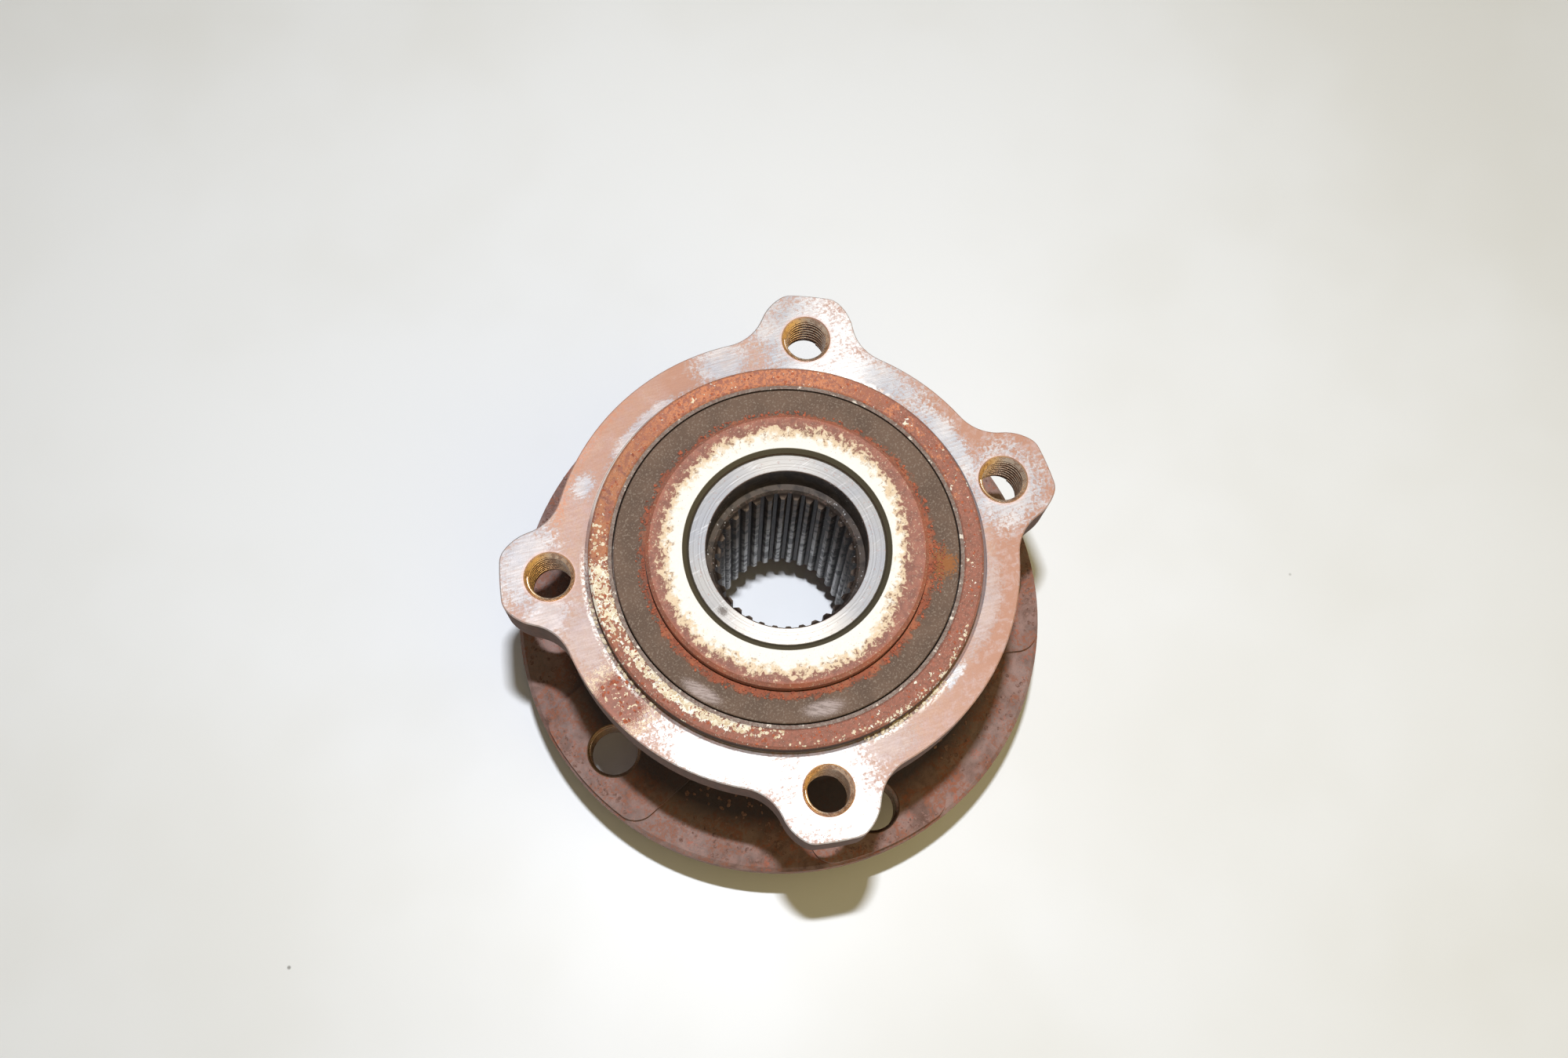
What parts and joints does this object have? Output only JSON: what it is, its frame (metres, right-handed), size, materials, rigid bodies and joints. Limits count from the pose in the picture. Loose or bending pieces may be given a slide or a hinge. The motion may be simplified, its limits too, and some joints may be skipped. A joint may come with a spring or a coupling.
{
  "type": "wheel hub bearing",
  "caption": "Driven-wheel hub bearing: a flanged, splined hub turning on ball rows inside an eared outer ring, with bolt holes and a seal that carries a sensor ring.",
  "frame": {"origin": "on the spin axis, in the plane of the wheel flange that the brake disc bolts against", "axes": "+Z along the spin axis towards the vehicle (inboard), +X midway between the two close ears of the outer ring"},
  "size_m": [0.1436, 0.1436, 0.0843],
  "materials": {
    "outer_ring_steel": "machined steel, stained, with rust on the pilot",
    "hub_steel": "forged steel with light rust, machined faces",
    "inner_ring_steel": "ground bearing steel with a rusty edge",
    "ball_steel": "polished",
    "cage_plastic": "glass-filled polyamide",
    "seal_sheet": "pressed sheet",
    "seal_rubber": "nitrile",
    "encoder_rubber": "magnetised rubber, dusty"
  },
  "bodies": {
    "bearing_outer": {"outer_ring": "outer_ring_steel", "inboard_seal_case": "seal_sheet", "inboard_seal_lips": "seal_rubber", "outboard_seal_case": "seal_sheet", "outboard_seal_lips": "seal_rubber"},
    "hub": {"wheel_hub": "hub_steel", "inner_ring": "inner_ring_steel", "inboard_flinger": "seal_sheet", "encoder_ring": "encoder_rubber"},
    "inboard_cage": {"inboard_cage": "cage_plastic"},
    "outboard_cage": {"outboard_cage": "cage_plastic"},
    "inboard_ball_01": {"inboard_ball_01": "ball_steel"},
    "inboard_ball_02": {"inboard_ball_02": "ball_steel"},
    "inboard_ball_03": {"inboard_ball_03": "ball_steel"},
    "inboard_ball_04": {"inboard_ball_04": "ball_steel"},
    "inboard_ball_05": {"inboard_ball_05": "ball_steel"},
    "inboard_ball_06": {"inboard_ball_06": "ball_steel"},
    "inboard_ball_07": {"inboard_ball_07": "ball_steel"},
    "inboard_ball_08": {"inboard_ball_08": "ball_steel"},
    "inboard_ball_09": {"inboard_ball_09": "ball_steel"},
    "inboard_ball_10": {"inboard_ball_10": "ball_steel"},
    "inboard_ball_11": {"inboard_ball_11": "ball_steel"},
    "inboard_ball_12": {"inboard_ball_12": "ball_steel"},
    "inboard_ball_13": {"inboard_ball_13": "ball_steel"},
    "inboard_ball_14": {"inboard_ball_14": "ball_steel"},
    "inboard_ball_15": {"inboard_ball_15": "ball_steel"},
    "outboard_ball_01": {"outboard_ball_01": "ball_steel"},
    "outboard_ball_02": {"outboard_ball_02": "ball_steel"},
    "outboard_ball_03": {"outboard_ball_03": "ball_steel"},
    "outboard_ball_04": {"outboard_ball_04": "ball_steel"},
    "outboard_ball_05": {"outboard_ball_05": "ball_steel"},
    "outboard_ball_06": {"outboard_ball_06": "ball_steel"},
    "outboard_ball_07": {"outboard_ball_07": "ball_steel"},
    "outboard_ball_08": {"outboard_ball_08": "ball_steel"},
    "outboard_ball_09": {"outboard_ball_09": "ball_steel"},
    "outboard_ball_10": {"outboard_ball_10": "ball_steel"},
    "outboard_ball_11": {"outboard_ball_11": "ball_steel"},
    "outboard_ball_12": {"outboard_ball_12": "ball_steel"},
    "outboard_ball_13": {"outboard_ball_13": "ball_steel"},
    "outboard_ball_14": {"outboard_ball_14": "ball_steel"},
    "outboard_ball_15": {"outboard_ball_15": "ball_steel"}
  },
  "joints": [
    {"name": "hub_spin", "type": "hinge", "parent": "bearing_outer", "child": "hub", "pos_m": [0, 0, 0.0385], "axis": [0, 0, 1], "continuous": true},
    {"name": "inboard_cage_spin", "type": "hinge", "parent": "bearing_outer", "child": "inboard_cage", "pos_m": [0, 0, 0.0495], "axis": [0, 0, 1], "continuous": true},
    {"name": "outboard_cage_spin", "type": "hinge", "parent": "bearing_outer", "child": "outboard_cage", "pos_m": [0, 0, 0.0275], "axis": [0, 0, 1], "continuous": true},
    {"name": "inboard_ball_01_spin", "type": "hinge", "parent": "inboard_cage", "child": "inboard_ball_01", "pos_m": [0.0365, 0, 0.0495], "axis": [0.5736, 0, 0.8192], "continuous": true},
    {"name": "inboard_ball_02_spin", "type": "hinge", "parent": "inboard_cage", "child": "inboard_ball_02", "pos_m": [0.03334, 0.01485, 0.0495], "axis": [0.524, 0.2333, 0.8192], "continuous": true},
    {"name": "inboard_ball_03_spin", "type": "hinge", "parent": "inboard_cage", "child": "inboard_ball_03", "pos_m": [0.02442, 0.02712, 0.0495], "axis": [0.3838, 0.4263, 0.8192], "continuous": true},
    {"name": "inboard_ball_04_spin", "type": "hinge", "parent": "inboard_cage", "child": "inboard_ball_04", "pos_m": [0.01128, 0.03471, 0.0495], "axis": [0.1772, 0.5455, 0.8192], "continuous": true},
    {"name": "inboard_ball_05_spin", "type": "hinge", "parent": "inboard_cage", "child": "inboard_ball_05", "pos_m": [-0.00382, 0.0363, 0.0495], "axis": [-0.06, 0.5704, 0.8192], "continuous": true},
    {"name": "inboard_ball_06_spin", "type": "hinge", "parent": "inboard_cage", "child": "inboard_ball_06", "pos_m": [-0.01825, 0.03161, 0.0495], "axis": [-0.2868, 0.4967, 0.8192], "continuous": true},
    {"name": "inboard_ball_07_spin", "type": "hinge", "parent": "inboard_cage", "child": "inboard_ball_07", "pos_m": [-0.02953, 0.02145, 0.0495], "axis": [-0.464, 0.3371, 0.8192], "continuous": true},
    {"name": "inboard_ball_08_spin", "type": "hinge", "parent": "inboard_cage", "child": "inboard_ball_08", "pos_m": [-0.0357, 0.00759, 0.0495], "axis": [-0.561, 0.1193, 0.8192], "continuous": true},
    {"name": "inboard_ball_09_spin", "type": "hinge", "parent": "inboard_cage", "child": "inboard_ball_09", "pos_m": [-0.0357, -0.00759, 0.0495], "axis": [-0.561, -0.1193, 0.8192], "continuous": true},
    {"name": "inboard_ball_10_spin", "type": "hinge", "parent": "inboard_cage", "child": "inboard_ball_10", "pos_m": [-0.02953, -0.02145, 0.0495], "axis": [-0.464, -0.3371, 0.8192], "continuous": true},
    {"name": "inboard_ball_11_spin", "type": "hinge", "parent": "inboard_cage", "child": "inboard_ball_11", "pos_m": [-0.01825, -0.03161, 0.0495], "axis": [-0.2868, -0.4967, 0.8192], "continuous": true},
    {"name": "inboard_ball_12_spin", "type": "hinge", "parent": "inboard_cage", "child": "inboard_ball_12", "pos_m": [-0.00382, -0.0363, 0.0495], "axis": [-0.06, -0.5704, 0.8192], "continuous": true},
    {"name": "inboard_ball_13_spin", "type": "hinge", "parent": "inboard_cage", "child": "inboard_ball_13", "pos_m": [0.01128, -0.03471, 0.0495], "axis": [0.1772, -0.5455, 0.8192], "continuous": true},
    {"name": "inboard_ball_14_spin", "type": "hinge", "parent": "inboard_cage", "child": "inboard_ball_14", "pos_m": [0.02442, -0.02712, 0.0495], "axis": [0.3838, -0.4263, 0.8192], "continuous": true},
    {"name": "inboard_ball_15_spin", "type": "hinge", "parent": "inboard_cage", "child": "inboard_ball_15", "pos_m": [0.03334, -0.01485, 0.0495], "axis": [0.524, -0.2333, 0.8192], "continuous": true},
    {"name": "outboard_ball_01_spin", "type": "hinge", "parent": "outboard_cage", "child": "outboard_ball_01", "pos_m": [0.0365, 0, 0.0275], "axis": [-0.5736, 0, 0.8192], "continuous": true},
    {"name": "outboard_ball_02_spin", "type": "hinge", "parent": "outboard_cage", "child": "outboard_ball_02", "pos_m": [0.03334, 0.01485, 0.0275], "axis": [-0.524, -0.2333, 0.8192], "continuous": true},
    {"name": "outboard_ball_03_spin", "type": "hinge", "parent": "outboard_cage", "child": "outboard_ball_03", "pos_m": [0.02442, 0.02712, 0.0275], "axis": [-0.3838, -0.4263, 0.8192], "continuous": true},
    {"name": "outboard_ball_04_spin", "type": "hinge", "parent": "outboard_cage", "child": "outboard_ball_04", "pos_m": [0.01128, 0.03471, 0.0275], "axis": [-0.1772, -0.5455, 0.8192], "continuous": true},
    {"name": "outboard_ball_05_spin", "type": "hinge", "parent": "outboard_cage", "child": "outboard_ball_05", "pos_m": [-0.00382, 0.0363, 0.0275], "axis": [0.06, -0.5704, 0.8192], "continuous": true},
    {"name": "outboard_ball_06_spin", "type": "hinge", "parent": "outboard_cage", "child": "outboard_ball_06", "pos_m": [-0.01825, 0.03161, 0.0275], "axis": [0.2868, -0.4967, 0.8192], "continuous": true},
    {"name": "outboard_ball_07_spin", "type": "hinge", "parent": "outboard_cage", "child": "outboard_ball_07", "pos_m": [-0.02953, 0.02145, 0.0275], "axis": [0.464, -0.3371, 0.8192], "continuous": true},
    {"name": "outboard_ball_08_spin", "type": "hinge", "parent": "outboard_cage", "child": "outboard_ball_08", "pos_m": [-0.0357, 0.00759, 0.0275], "axis": [0.561, -0.1193, 0.8192], "continuous": true},
    {"name": "outboard_ball_09_spin", "type": "hinge", "parent": "outboard_cage", "child": "outboard_ball_09", "pos_m": [-0.0357, -0.00759, 0.0275], "axis": [0.561, 0.1193, 0.8192], "continuous": true},
    {"name": "outboard_ball_10_spin", "type": "hinge", "parent": "outboard_cage", "child": "outboard_ball_10", "pos_m": [-0.02953, -0.02145, 0.0275], "axis": [0.464, 0.3371, 0.8192], "continuous": true},
    {"name": "outboard_ball_11_spin", "type": "hinge", "parent": "outboard_cage", "child": "outboard_ball_11", "pos_m": [-0.01825, -0.03161, 0.0275], "axis": [0.2868, 0.4967, 0.8192], "continuous": true},
    {"name": "outboard_ball_12_spin", "type": "hinge", "parent": "outboard_cage", "child": "outboard_ball_12", "pos_m": [-0.00382, -0.0363, 0.0275], "axis": [0.06, 0.5704, 0.8192], "continuous": true},
    {"name": "outboard_ball_13_spin", "type": "hinge", "parent": "outboard_cage", "child": "outboard_ball_13", "pos_m": [0.01128, -0.03471, 0.0275], "axis": [-0.1772, 0.5455, 0.8192], "continuous": true},
    {"name": "outboard_ball_14_spin", "type": "hinge", "parent": "outboard_cage", "child": "outboard_ball_14", "pos_m": [0.02442, -0.02712, 0.0275], "axis": [-0.3838, 0.4263, 0.8192], "continuous": true},
    {"name": "outboard_ball_15_spin", "type": "hinge", "parent": "outboard_cage", "child": "outboard_ball_15", "pos_m": [0.03334, -0.01485, 0.0275], "axis": [-0.524, 0.2333, 0.8192], "continuous": true}
  ],
  "couplings": [
    {"joint": "inboard_cage_spin", "follows": "hub_spin", "ratio": 0.42874},
    {"joint": "outboard_cage_spin", "follows": "hub_spin", "ratio": 0.42874},
    {"joint": "inboard_ball_01_spin", "follows": "hub_spin", "ratio": -2.8156},
    {"joint": "inboard_ball_02_spin", "follows": "hub_spin", "ratio": -2.8156},
    {"joint": "inboard_ball_03_spin", "follows": "hub_spin", "ratio": -2.8156},
    {"joint": "inboard_ball_04_spin", "follows": "hub_spin", "ratio": -2.8156},
    {"joint": "inboard_ball_05_spin", "follows": "hub_spin", "ratio": -2.8156},
    {"joint": "inboard_ball_06_spin", "follows": "hub_spin", "ratio": -2.8156},
    {"joint": "inboard_ball_07_spin", "follows": "hub_spin", "ratio": -2.8156},
    {"joint": "inboard_ball_08_spin", "follows": "hub_spin", "ratio": -2.8156},
    {"joint": "inboard_ball_09_spin", "follows": "hub_spin", "ratio": -2.8156},
    {"joint": "inboard_ball_10_spin", "follows": "hub_spin", "ratio": -2.8156},
    {"joint": "inboard_ball_11_spin", "follows": "hub_spin", "ratio": -2.8156},
    {"joint": "inboard_ball_12_spin", "follows": "hub_spin", "ratio": -2.8156},
    {"joint": "inboard_ball_13_spin", "follows": "hub_spin", "ratio": -2.8156},
    {"joint": "inboard_ball_14_spin", "follows": "hub_spin", "ratio": -2.8156},
    {"joint": "inboard_ball_15_spin", "follows": "hub_spin", "ratio": -2.8156},
    {"joint": "outboard_ball_01_spin", "follows": "hub_spin", "ratio": -2.8156},
    {"joint": "outboard_ball_02_spin", "follows": "hub_spin", "ratio": -2.8156},
    {"joint": "outboard_ball_03_spin", "follows": "hub_spin", "ratio": -2.8156},
    {"joint": "outboard_ball_04_spin", "follows": "hub_spin", "ratio": -2.8156},
    {"joint": "outboard_ball_05_spin", "follows": "hub_spin", "ratio": -2.8156},
    {"joint": "outboard_ball_06_spin", "follows": "hub_spin", "ratio": -2.8156},
    {"joint": "outboard_ball_07_spin", "follows": "hub_spin", "ratio": -2.8156},
    {"joint": "outboard_ball_08_spin", "follows": "hub_spin", "ratio": -2.8156},
    {"joint": "outboard_ball_09_spin", "follows": "hub_spin", "ratio": -2.8156},
    {"joint": "outboard_ball_10_spin", "follows": "hub_spin", "ratio": -2.8156},
    {"joint": "outboard_ball_11_spin", "follows": "hub_spin", "ratio": -2.8156},
    {"joint": "outboard_ball_12_spin", "follows": "hub_spin", "ratio": -2.8156},
    {"joint": "outboard_ball_13_spin", "follows": "hub_spin", "ratio": -2.8156},
    {"joint": "outboard_ball_14_spin", "follows": "hub_spin", "ratio": -2.8156},
    {"joint": "outboard_ball_15_spin", "follows": "hub_spin", "ratio": -2.8156}
  ]
}
